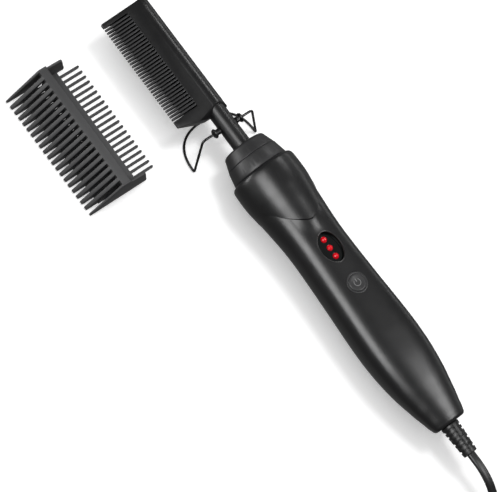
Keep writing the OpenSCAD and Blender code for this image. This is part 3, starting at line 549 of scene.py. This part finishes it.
def shell_skin(bm, start, gap):
    """One half of the handle's housing: the skin outside, the hollow inside, closed along the
    parting plane and at both ends."""
    columns, hollows = [], []
    count = 96
    for k in range(count + 1):
        angle = math.radians(start) + math.pi * k / count
        edge = tongue_end(angle)
        c, s = math.cos(angle), math.sin(angle)

        def vertex(d, r):
            return bm.verts.new((HANDLE_X + d, r * c, BOOT_Z + gap + r * s))

        columns.append([vertex(d, skin_radius(d, angle, edge)) for d in skin_places(edge)])
        reach = {"axis": lambda d, size: round_radius(size, angle), "neck": lambda d, size: size,
                 "wall": lambda d, size: skin_radius(d, angle, edge) - size}
        hollows.append([vertex(d, reach[kind](d, size)) for d, kind, size in HOLLOW])
    for a, b, p, q in zip(columns, columns[1:], hollows, hollows[1:]):
        for i in range(len(a) - 1):
            bm.faces.new((a[i], a[i + 1], b[i + 1], b[i]))
        for i in range(len(p) - 1):
            bm.faces.new((p[i], q[i], q[i + 1], p[i + 1]))
        bm.faces.new((a[0], b[0], q[0], p[0]))
        bm.faces.new((a[-1], p[-1], q[-1], b[-1]))
    for column, inner in ((columns[0], hollows[0]), (columns[-1], hollows[-1])):
        bm.faces.new(column + inner[::-1])


def round_bar(bm, x, y, r, low, high, n=48):
    """An upright round bar."""
    prism(bm, points_round(x, y, r, r, n), low, high, axis=2)


def oval_bar(bm, x, a, b, low, high):
    """An upright oval bar on the comb's middle line."""
    prism(bm, points_round(x, 0, a, b, 96), low, high, axis=2)


def joined(name, base, tool, operation):
    """The base mesh with a tool mesh joined to it or cut from it."""
    work = bpy.data.objects.new("work", base)
    knife = bpy.data.objects.new("knife", tool)
    for obj in (work, knife):
        bpy.context.scene.collection.objects.link(obj)
    cut = work.modifiers.new("cut", "BOOLEAN")
    cut.operation, cut.object, cut.solver = operation, knife, "EXACT"
    shown = work.evaluated_get(bpy.context.evaluated_depsgraph_get())
    mesh = bpy.data.meshes.new_from_object(shown)
    work.modifiers.remove(cut)
    for obj in (work, knife):
        bpy.data.objects.remove(obj)
    mesh.name = name
    return mesh


SCREWS = (HANDLE_X + 0.19 * HANDLE_LEN, HANDLE_X + 0.8 * HANDLE_LEN)
BOSS_R, PILOT_R, SHANK_R, HEAD_R = 3.4, 1.42, 1.6, 2.9
BOSS_TOPS, BOSS_FLOORS = (15.6, 8.9), (-16.6, -19.9)
PILOT_DEEP, WELL_TOP = 7, -12
POSTS = (HANDLE_X + 0.25 * HANDLE_LEN + 3.4, HANDLE_X + 0.65 * HANDLE_LEN - 3.4)
POST_R, POST_Y, POST_FLOORS = 2, 8.1, (-14.6, -18.9)
SHY = 0.03  # how far bosses and posts stop short of the parting plane
BUTTON_ROOM = 1.0
FACE_CUT = (4, 34)  # heights between which the window and the button are cut through


def upper_bosses(bm):
    """The upper half's screw bosses."""
    for x, top in zip(SCREWS, BOSS_TOPS):
        round_bar(bm, x, 0, BOSS_R, BOOT_Z + SHY, top)


def upper_holes(bm):
    """The holes for the window, the button and the screws' threads."""
    oval_bar(bm, WINDOW[0], WINDOW[1] / 2, WINDOW[2] / 2, *FACE_CUT)
    round_bar(bm, BUTTON_X, 0, BUTTON_D / 2 + BUTTON_ROOM, *FACE_CUT, 96)
    for x in SCREWS:
        round_bar(bm, x, 0, PILOT_R, BOOT_Z - 1, BOOT_Z + PILOT_DEEP)


def lower_bosses(bm):
    """The lower half's screw bosses, and the posts under the board."""
    for x, low, post, post_low in zip(SCREWS, BOSS_FLOORS, POSTS, POST_FLOORS):
        round_bar(bm, x, 0, BOSS_R, low, BOOT_Z - SHY)
        for side in (-1, 1):
            round_bar(bm, post, side * POST_Y, POST_R, post_low, BOOT_Z - SHY)


def lower_wells(bm):
    """The screws' holes and the wells that their heads lie in."""
    for x in SCREWS:
        round_bar(bm, x, 0, SHANK_R, -20, 4)
        round_bar(bm, x, 0, HEAD_R, -34, WELL_TOP)


def handle_half(name, start, gap, bosses, holes, node):
    """One half of the housing, with its bosses added and its holes cut."""
    shell = mesh_of(name, lambda bm: shell_skin(bm, start, gap))
    for part, operation in ((bosses, "UNION"), (holes, "DIFFERENCE")):
        shell = joined(name, shell, mesh_of("tool", part), operation)
    return piece(name, in_frame(shell, on_comb), HANDLE_ABS, "comb", (node,), 24)


handle_half("handle_top", 0, 0.025, upper_bosses, upper_holes, "handle_upper")
handle_half("handle_bottom", 180, -0.025, lower_bosses, lower_wells, "handle_lower")


def skin_height(x, y):
    """Height of the handle's upper skin at a place on the control face."""
    low, high = 5.0, 25.0
    for _ in range(22):
        z = (low + high) / 2
        angle = math.atan2(z - BOOT_Z, y)
        inside = math.hypot(y, z - BOOT_Z) < skin_radius(x - HANDLE_X, angle, tongue_end(angle))
        low, high = (z, high) if inside else (low, z)
    return low


LIP_OUT, LIP_SUNK, LIP_W, LIP_H = 0.05, 0.02, 0.36, 0.3


def window_lip(bm):
    """A thin rounded lip that the mould leaves round the window."""
    n, around = 96, 8
    rings = []
    for k in range(n):
        a = math.tau * k / n
        x = WINDOW[0] + (WINDOW[1] / 2 + LIP_OUT) * math.cos(a)
        y = (WINDOW[2] / 2 + LIP_OUT) * math.sin(a)
        middle = Vector((x, y, skin_height(x, y) - LIP_SUNK))
        out = Vector((math.cos(a), math.sin(a), 0))
        rings.append([middle + out * p + Vector((0, 0, q))
                      for p, q in points_round(0, 0, LIP_W, LIP_H, around)])
    loft(bm, rings + [rings[0]], ends=False)


piece("window_lip", in_frame(mesh_of("window_lip", window_lip), on_comb), HANDLE_ABS, "comb",
      ())

# ---- Controls ----

eased_copy("button_bezel", "button_ring", BUTTON_ABS, "comb", 0.22)
eased_copy("power_button", "button_cap", BUTTON_ABS, "button", 0.12)

MARK_R, MARK_LINE, MARK_H, MARK_GAP = 1.9, 0.34, 0.09, 40


def power_mark(bm):
    """The usual sign on a power button: an open ring with a bar in its gap, just proud of the
    cap."""
    z = FACE_Z + 0.16
    n, half = 40, MARK_LINE / 2
    rise = Vector((0, 0, MARK_H))
    rings = []
    for k in range(n + 1):
        a = math.radians(MARK_GAP) + math.radians(360 - 2 * MARK_GAP) * k / n
        out = Vector((-math.cos(a), math.sin(a), 0))
        middle = Vector((BUTTON_X, 0, z)) + out * MARK_R
        inner, outer = middle - out * half, middle + out * half
        rings.append([inner, outer, outer + rise, inner + rise])
    loft(bm, rings)
    prism(bm, [(BUTTON_X - 2.3, -half), (BUTTON_X - 0.5, -half), (BUTTON_X - 0.5, half),
               (BUTTON_X - 2.3, half)], z, z + MARK_H, axis=2)


piece("button_mark", in_frame(mesh_of("button_mark", power_mark), on_comb), LEGEND_INK, "button",
      ())
eased_copy("status_window", "window_plate", WINDOW_PC, "comb", 0.12)
eased_copy("status_lights", "status_lamps", LIGHT_EPOXY, "comb", 0.0)

# ---- Head ----

TIP_Y = SPINE_R - BLADE_W
COAT = 0.14  # what the sprayed coat adds to a tooth's width
TIP_RUN = 0.4  # the part next to the tips that keeps their thickness
BLADE_EASE = 0.3
SPINE_CUTS = 14


def blade_half(y):
    """Half the blade's thickness at a place between spine and tips."""
    return TIP_T / 2 + (SPINE_R - TIP_T / 2) * (y - TIP_Y - TIP_RUN) / (-TIP_Y - TIP_RUN)


def blade_tooth(bm):
    """The tooth beside the slot nearest the handle, its tip rounded."""
    root, chin = TIP_Y + TOOTH_LEN + 0.6, TIP_Y + 0.5
    wide = SLOT_PITCH - SLOT_W + COAT
    x = NEAR_SLOT - SLOT_PITCH / 2 - wide / 2
    outline = [(root, -blade_half(root)), (root, blade_half(root)), (chin, blade_half(chin)),
               (TIP_Y + 0.12, 0.5), (TIP_Y, 0.2), (TIP_Y, -0.2), (TIP_Y + 0.12, -0.5),
               (chin, -blade_half(chin))]
    prism(bm, outline, x, x + wide, bevel=0.2)


def toothed_field(bm):
    """What is cut from the blade between its first slot and its last, where the teeth go."""
    first = NEAR_SLOT + SLOT_W / 2
    last = NEAR_SLOT - (SLOTS - 1) * SLOT_PITCH - SLOT_W / 2
    low, high = TIP_Y - 5, TIP_Y + TOOTH_LEN
    prism(bm, [(last, low), (first, low), (first, high), (last, high)], -12, 12, axis=2)


def cut_spine(bm):
    """Cuts across the spine's long faces, which keep its smoothed normals even."""
    low, high = (pick(v.co.x for v in bm.verts) for pick in (min, max))
    for k in range(1, SPINE_CUTS):
        bm.normal_update()
        spine = [f for f in bm.faces if f.normal.y > -0.15 and abs(f.normal.x) < 0.5]
        rims = list({e for f in spine for e in f.edges})
        ends = list({v for f in spine for v in f.verts})
        bmesh.ops.bisect_plane(bm, geom=ends + rims + spine, dist=1e-7, plane_no=(1, 0, 0),
                               plane_co=(low + (high - low) * k / SPINE_CUTS, 0, 0))


def blade_body():
    """The constructed blade without its teeth, its edges eased."""
    mesh = settled(welded(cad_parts["comb_blade"].data), "blade")
    field = in_frame(mesh_of("tool", toothed_field), on_comb)
    bm = welded(joined("blade", mesh, field, "DIFFERENCE"))
    ease_edges(bm, BLADE_EASE, 0.8)
    cut_spine(bm)
    return settled(bm, "blade")


piece("blade", blade_body(), BLADE_CERAMIC, "comb", ("comb_blade",), 28)
# The teeth carry the paler painted-light coat, with painted shade on their side walls
blade_row = toothed_row(mesh_of("tooth", blade_tooth), SLOTS - 1, (-SLOT_PITCH, 0, 0),
                        LIT_TOOTH_CERAMIC)
teeth = piece("blade_teeth", in_frame(blade_row, on_comb), LIT_TOOTH_CERAMIC, "comb",
              ("comb_blade",), 40)
# The teeth's side walls take the near-black painted shade; their tops keep the paler painted-light
# coat
teeth.data.materials.append(SLOT_PAINTED_SHADE)
for face in teeth.data.polygons:
    face.material_index = 1 if abs(face.normal.x) > 0.7 else 0
eased_copy("collar_front", "front_collar", COLLAR_PBT, "comb", 0.15)
eased_copy("collar_rear", "rear_collar", COLLAR_PBT, "comb", 0.2)
eased_copy("pivot_bushes", "stand_bushes", BUSH_STEEL, "comb", 0.1)

# ---- Wire stand ----

PIVOT_X, WIRE_R = -13.8, 0.7
ARCH_X, ARCH_REACH, ARCH_HALF, ARCH_ROUND = 7.6, 21, 21.9, 0.8
WIRE_IN, KNEE_Y, KNEE_BEND, FOOT_BEND = 3.7, 17.2, 2.2, 1.6


def stand_line():
    """The bent wire: in through a bush, out to a knee, round the foot, and back to the other
    side."""
    def power(v, n):
        return math.copysign(abs(v) ** n, v) if abs(v) > 1e-9 else 0.0
    arch = []
    for k in range(65):
        a = math.pi * k / 64
        arch.append(Vector((PIVOT_X + ARCH_X - ARCH_REACH * power(math.sin(a), ARCH_ROUND),
                            -ARCH_HALF * power(math.cos(a), ARCH_ROUND),
                            WIRE_R + 0.1 - AXIS_H)))
    ends = [[Vector((PIVOT_X, side * y, 0)) for y in (WIRE_IN, KNEE_Y)] for side in (-1, 1)]
    corners = ends[0] + arch + ends[1][::-1]
    last = len(corners) - 1
    bends = {1: KNEE_BEND, 2: FOOT_BEND, last - 2: FOOT_BEND, last - 1: KNEE_BEND}
    line = []
    for i, p in enumerate(corners):
        if i not in bends:
            line.append(p)
            continue
        into = p + bends[i] * (corners[i - 1] - p).normalized()
        away = p + bends[i] * (corners[i + 1] - p).normalized()
        for k in range(9):
            t = k / 8
            line.append(into * (1 - t) ** 2 + p * 2 * t * (1 - t) + away * t * t)
    return line


def stand_wire(bm):
    """The wire along its line, without the points that lie too close together."""
    line = stand_line()
    kept = [line[0]]
    for p in line[1:]:
        if (p - kept[-1]).length > 0.12:
            kept.append(p)
    loft(bm, sweep(kept, points_round(0, 0, WIRE_R, WIRE_R, 18), Vector((1, 0, 1))))


piece("bent_wire", in_frame(mesh_of("bent_wire", stand_wire), on_comb), WIRE_STEEL, "stand",
      ("stand_wire",), 60)

# ---- Comb guard ----

REACH, HEIGHT, RAIL_W, RAIL_T = 19.4, 22.0, 5.0, 3.0
LOWER_Y, LOWER_W, LOWER_T, PLATE = 13.6, 5.4, 2.4, 1.3
TEETH, TOOTH_W, FINE, FINE_LEN, FINE_W, FINE_T = 21, 2.1, 21, 13.0, 1.4, 1.6
TOOTH_STEP = (GUARD_LEN - TOOTH_W) / (TEETH - 1)
FINE_STEP = (GUARD_LEN - 2 * PLATE - 5 - FINE_W) / (FINE - 1)
TIP_R = 1.1
TIP_MIDDLE = TIP_R - REACH


def arc(cy, cz, r, start, end, n):
    """Points on a part of a circle, its ends in degrees."""
    return [(cy + r * math.cos(math.radians(start + (end - start) * k / n)),
             cz + r * math.sin(math.radians(start + (end - start) * k / n))) for k in range(n + 1)]


ROUND_TIP = arc(TIP_MIDDLE, TIP_R, TIP_R, 150, 270, 6)


def sloping_leg(bm):
    """The upper leg of a guard tooth, from its round tip up to the upper rail."""
    outline = ROUND_TIP + [(TIP_MIDDLE + 3.4, 0), (TIP_MIDDLE + 4.2 + 1.2, LOWER_T)]
    outline += [(-0.6, HEIGHT - RAIL_T), (-RAIL_W / 2 + 0.6, HEIGHT - 0.2), (-RAIL_W / 2, HEIGHT)]
    prism(bm, outline, TOOTH_STEP, TOOTH_STEP + TOOTH_W, bevel=0.42)


def flat_leg(bm):
    """The lower leg of a guard tooth, flat on the table, out to the lower rail."""
    far, top = LOWER_Y - LOWER_W + 0.6, LOWER_T - 0.06
    low, high = TOOTH_STEP, TOOTH_STEP + TOOTH_W
    prism(bm, [(TIP_MIDDLE, 0), (far, 0), (far, top), (TIP_MIDDLE + 4.0, top)], low + 0.02,
          high - 0.02, bevel=0.2)
    prism(bm, [(-11.5, 0.15), (far, 0.15), (far, top - 0.1), (-10, top - 0.1)], low - 0.55,
          high + 0.55, bevel=0.3)


def back_leg(bm):
    """The web behind each tooth, from the lower leg up to the upper rail."""
    outline = [(2, LOWER_T - 0.6), (RAIL_W / 2, HEIGHT - RAIL_T - 0.3), (RAIL_W / 2, HEIGHT - 0.4),
               (-0.4, HEIGHT - RAIL_T)]
    half_gap = (TOOTH_STEP - TOOTH_W) / 2
    prism(bm, outline, TOOTH_STEP + 0.3 - half_gap, TOOTH_STEP + TOOTH_W + 0.4 + half_gap)


def fine_tooth(bm):
    """One of the fine teeth on the lower rail, its end rounded."""
    x, r = PLATE + 2.5, FINE_W / 2
    outline = [(x, LOWER_Y - 1), (x + FINE_W, LOWER_Y - 1)]
    outline += arc(x + r, LOWER_Y + FINE_LEN - r, r, 0, 180, 6)
    prism(bm, outline, 0, FINE_T, axis=2, bevel=0.26)


def end_plate(bm, low, high):
    """A plate that closes one end of the guard, in the outline of its teeth and rails."""
    outline = [(19, 0), (19, 1.5)] + arc(12.2, HEIGHT - 6, 2, 20, 90, 5)
    outline += [(4, HEIGHT - 3.6), (RAIL_W / 2, HEIGHT), (-RAIL_W / 2, HEIGHT)]
    prism(bm, outline + ROUND_TIP, low, high, bevel=0.35)


def guard_rails(bm):
    """The upper rail, which holds the sloping teeth, and the lower, which holds the fine ones."""
    half, under = RAIL_W / 2, LOWER_Y - LOWER_W
    low, high = HEIGHT - RAIL_T, HEIGHT - 0.02
    prism(bm, [(-half, low), (half, low), (half, high), (-half, high)], 0.5, GUARD_LEN - 0.5,
          bevel=0.4)
    prism(bm, [(under, 0), (LOWER_Y, 0), (LOWER_Y, LOWER_T), (under, LOWER_T)], 0.5,
          GUARD_LEN - 0.5, bevel=0.3)


def guard_place(x, y, z):
    """A point measured from the guard's far end, on the table."""
    return on_table(x + GUARD_X, y + GUARD_Y, z)


def guard_piece(name, mesh):
    """One of the guard's moulded pieces."""
    return piece(name, in_frame(mesh, guard_place), GUARD_PP, "guard",
                 ("comb_guard",), 40)


for name, build in (("guard_upper_legs", sloping_leg), ("guard_lower_legs", flat_leg),
                    ("guard_webs", back_leg)):
    guard_piece(name, toothed_row(mesh_of(name, build), TEETH - 2, (TOOTH_STEP, 0, 0), GUARD_PP))
guard_piece("guard_fine_teeth",
            toothed_row(mesh_of("fine", fine_tooth), FINE, (FINE_STEP, 0, 0), GUARD_PP))
guard_piece("guard_rails", mesh_of("guard_rails", guard_rails))
guard_piece("guard_far_plate", mesh_of("far", lambda bm: end_plate(bm, 0, PLATE)))
guard_piece("guard_near_plate",
            mesh_of("near", lambda bm: end_plate(bm, GUARD_LEN - PLATE, GUARD_LEN)))

# ---- Parts that keep their constructed form ----

KEPT = {
    "heater_core": HEATER_CERAMIC, "heater_leads": SLEEVE_GLASS, "shank_tube": TUBE_NICKEL,
    "heat_shield": MICA_BOARD, "case_screws": SCREW_ZINC, "switch_body": SWITCH_PBT,
    "switch_plunger": PLUNGER_NYLON, "control_board": BOARD_FR4, "board_chip": PART_EPOXY,
    "board_capacitor": CAPACITOR_FILM, "board_triac": PART_EPOXY, "board_fuse": FUSE_CERAMIC,
    "mains_leads": LEAD_PVC, "cord_tail": CORD_PVC, "cord_clamp": CLAMP_NYLON,
    "clamp_screws": SCREW_ZINC,
}
for node, material in KEPT.items():
    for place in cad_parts[node].material_slots:
        place.material = material

# ---- Table, light ----

TABLE_HALF = 3  # metres


def table_top():
    """A plain pale table."""
    mesh = bpy.data.meshes.new("table_top")
    h = TABLE_HALF
    mesh.from_pydata([(-h, -h, 0), (h, -h, 0), (h, h, 0), (-h, h, 0)], [], [(0, 1, 2, 3)])
    table = bpy.data.objects.new("table_top", mesh)
    bpy.context.scene.collection.objects.link(table)
    material = bpy.data.materials.new("white_laminate")
    material.use_nodes = True
    shader = material.node_tree.nodes["Principled BSDF"]
    shader.inputs["Base Color"].default_value = linear("#f4f4f4")
    shader.inputs["Roughness"].default_value = 0.7
    shader.inputs["Emission Color"].default_value = linear("#ffffff")
    shader.inputs["Emission Strength"].default_value = 0.34
    mesh.materials.append(material)
    table.visible_glossy = table.visible_diffuse = False


def softbox(name, place, target, size, power, diffuse=True, glossy=True):
    """A rectangular soft light aimed at a point, in metres and watts."""
    light = bpy.data.lights.new(name, "AREA")
    light.shape = "RECTANGLE"
    light.size, light.size_y, light.energy = size[0], size[1], power
    lamp = bpy.data.objects.new(name, light)
    lamp.location = place
    lamp.rotation_euler = (Vector(target) - Vector(place)).to_track_quat("-Z", "Y").to_euler()
    lamp.visible_diffuse, lamp.visible_glossy = diffuse, glossy
    bpy.context.scene.collection.objects.link(lamp)


table_top()
softbox("key", (-0.14, 0.34, 1.6), (0.02, 0, 0), (0.34, 0.34), 8.6, glossy=False)
softbox("overhead", (-0.1, -0.1, 2.0), (0, 0, 0), (2.4, 2.4), 25, glossy=False)
softbox("long_strip", (0.0, -0.63, 0.83), (0.03, 0, 0.02), (0.56, 0.62), 10, diffuse=False)
softbox("end_light", (0.46, 0.50, 0.85), (0.12, 0.03, 0.03), (0.32, 0.32), 4.4, diffuse=False)
softbox("far_edge", (0.0, 0.98, 0.07), (0.0, 0, 0.02), (1.0, 0.12), 0.8, diffuse=False)
softbox("blade_edge", (-0.152, 0.28, 0.25), (-0.117, 0.012, 0.03), (0.13, 0.05), 0.2,
        diffuse=False)
softbox("low_left", (-0.75, -0.85, 0.12), (-0.04, 0, 0.02), (0.7, 0.22), 6, diffuse=False)
world = bpy.data.worlds.new("studio")
world.use_nodes = True
world.node_tree.nodes["Background"].inputs["Color"].default_value = linear("#e8e8e8")
world.node_tree.nodes["Background"].inputs["Strength"].default_value = 0.25
bpy.context.scene.world = world
bpy.context.scene.view_settings.view_transform = "Standard"
